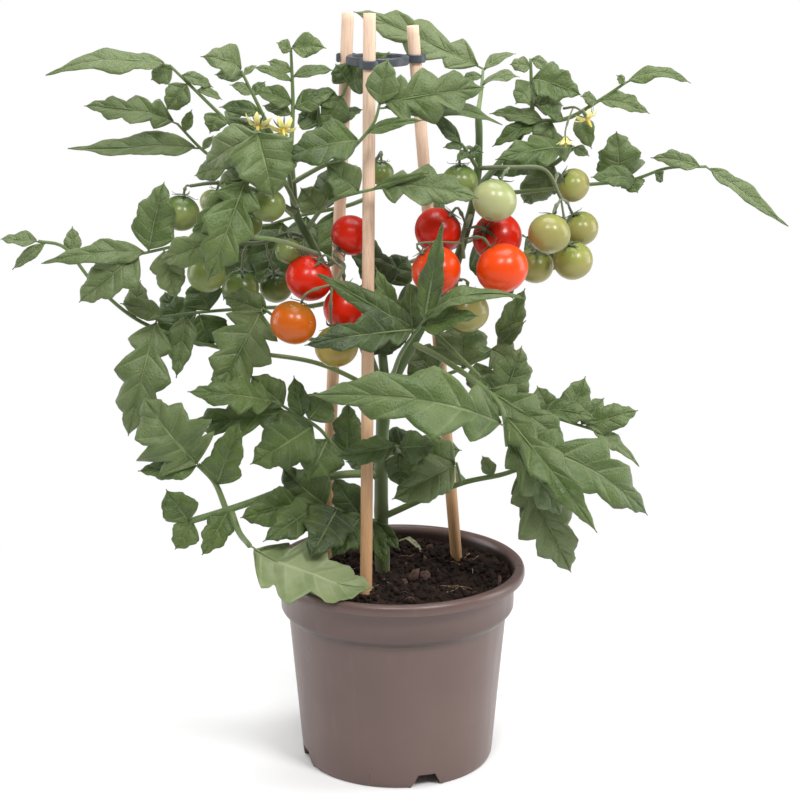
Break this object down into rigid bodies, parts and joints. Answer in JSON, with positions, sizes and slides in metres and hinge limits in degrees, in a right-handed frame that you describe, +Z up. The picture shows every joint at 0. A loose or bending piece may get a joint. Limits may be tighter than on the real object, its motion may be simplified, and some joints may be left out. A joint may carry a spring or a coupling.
{
  "type": "potted tomato plant",
  "caption": "Bushy cherry tomato plant in a brown plastic grower pot, tied up to wooden canes held by a clip, with ripe and green trusses.",
  "frame": {"origin": "on the ground under the middle of the pot", "axes": "+Z up, -Y to the front, +X to the right as seen from the front"},
  "size_m": [0.557, 0.2701, 0.5563],
  "materials": {
    "pot_plastic": "moulded taupe brown polypropylene, satin, worn brighter on the lip",
    "potting_soil": "crumbly dark peat mix with bits of bark and pale rootlets",
    "cane_wood": "peeled round cane, pale at the top and browner near the soil, unvarnished",
    "clip_plastic": "dark blue grey moulded plastic",
    "stem": "green stem with fine hairs, browner and ribbed near the soil",
    "leaf": "dull grey green leaf, paler underneath, pale midrib and side veins",
    "truss_green": "green fruit with darker shoulders, glossy, on dull grey green hairy stalks",
    "tomato_red": "smooth glossy ripe red skin",
    "tomato_orange": "smooth glossy orange skin, not quite ripe",
    "tomato_amber": "smooth glossy pale yellow green skin, starting to ripen",
    "petal_yellow": "thin matt pale yellow petals round a deeper yellow cone of anthers"
  },
  "bodies": {
    "root": {"pot": "pot_plastic", "soil": "potting_soil", "cane_front": "cane_wood", "cane_right": "cane_wood", "cane_left": "cane_wood", "cane_clip": "clip_plastic", "main_stem": "stem", "truss_ripe_right": "truss_green", "tomato_red_1": "tomato_red", "tomato_red_2": "tomato_red", "tomato_orange_1": "tomato_orange", "tomato_orange_2": "tomato_orange", "truss_green_right": "truss_green", "truss_green_up": "truss_green", "truss_green_low": "truss_green", "truss_ripe_left": "truss_green", "tomato_red_3": "tomato_red", "tomato_red_4": "tomato_red", "tomato_red_5": "tomato_red", "tomato_orange_3": "tomato_orange", "tomato_amber": "tomato_amber", "truss_green_left": "truss_green", "truss_green_left_low": "truss_green", "truss_green_high": "truss_green", "truss_green_back": "truss_green", "flowers_left": "petal_yellow", "flowers_right": "petal_yellow", "leaf_front_big": "leaf", "leaf_drape": "leaf", "leaf_grey_drape": "leaf", "leaf_front_centre": "leaf", "leaf_low_left": "leaf", "leaf_dark": "leaf", "leaf_far_right": "leaf", "leaf_left_hanging": "leaf", "leaf_mid_hanging": "leaf", "leaf_top": "leaf", "leaf_behind_canes": "leaf", "leaf_centre": "leaf", "leaf_left_crown": "leaf", "leaf_upper_left": "leaf", "leaf_far_upper_left": "leaf", "leaf_left_long": "leaf", "leaf_far_left_dark": "leaf", "leaf_far_left": "leaf", "leaf_inner_left": "leaf", "leaf_over_rim": "leaf", "leaf_cross_cane": "leaf", "leaf_low_right": "leaf", "leaf_right_mid": "leaf", "leaf_inner_right": "leaf", "leaf_middle": "leaf", "leaf_right_crown": "leaf", "leaf_right_upper": "leaf", "leaf_right_dark": "leaf", "leaf_narrow_top": "leaf", "leaf_back_right": "leaf", "leaf_back_left": "leaf", "leaf_back_low": "leaf"}
  },
  "joints": []
}
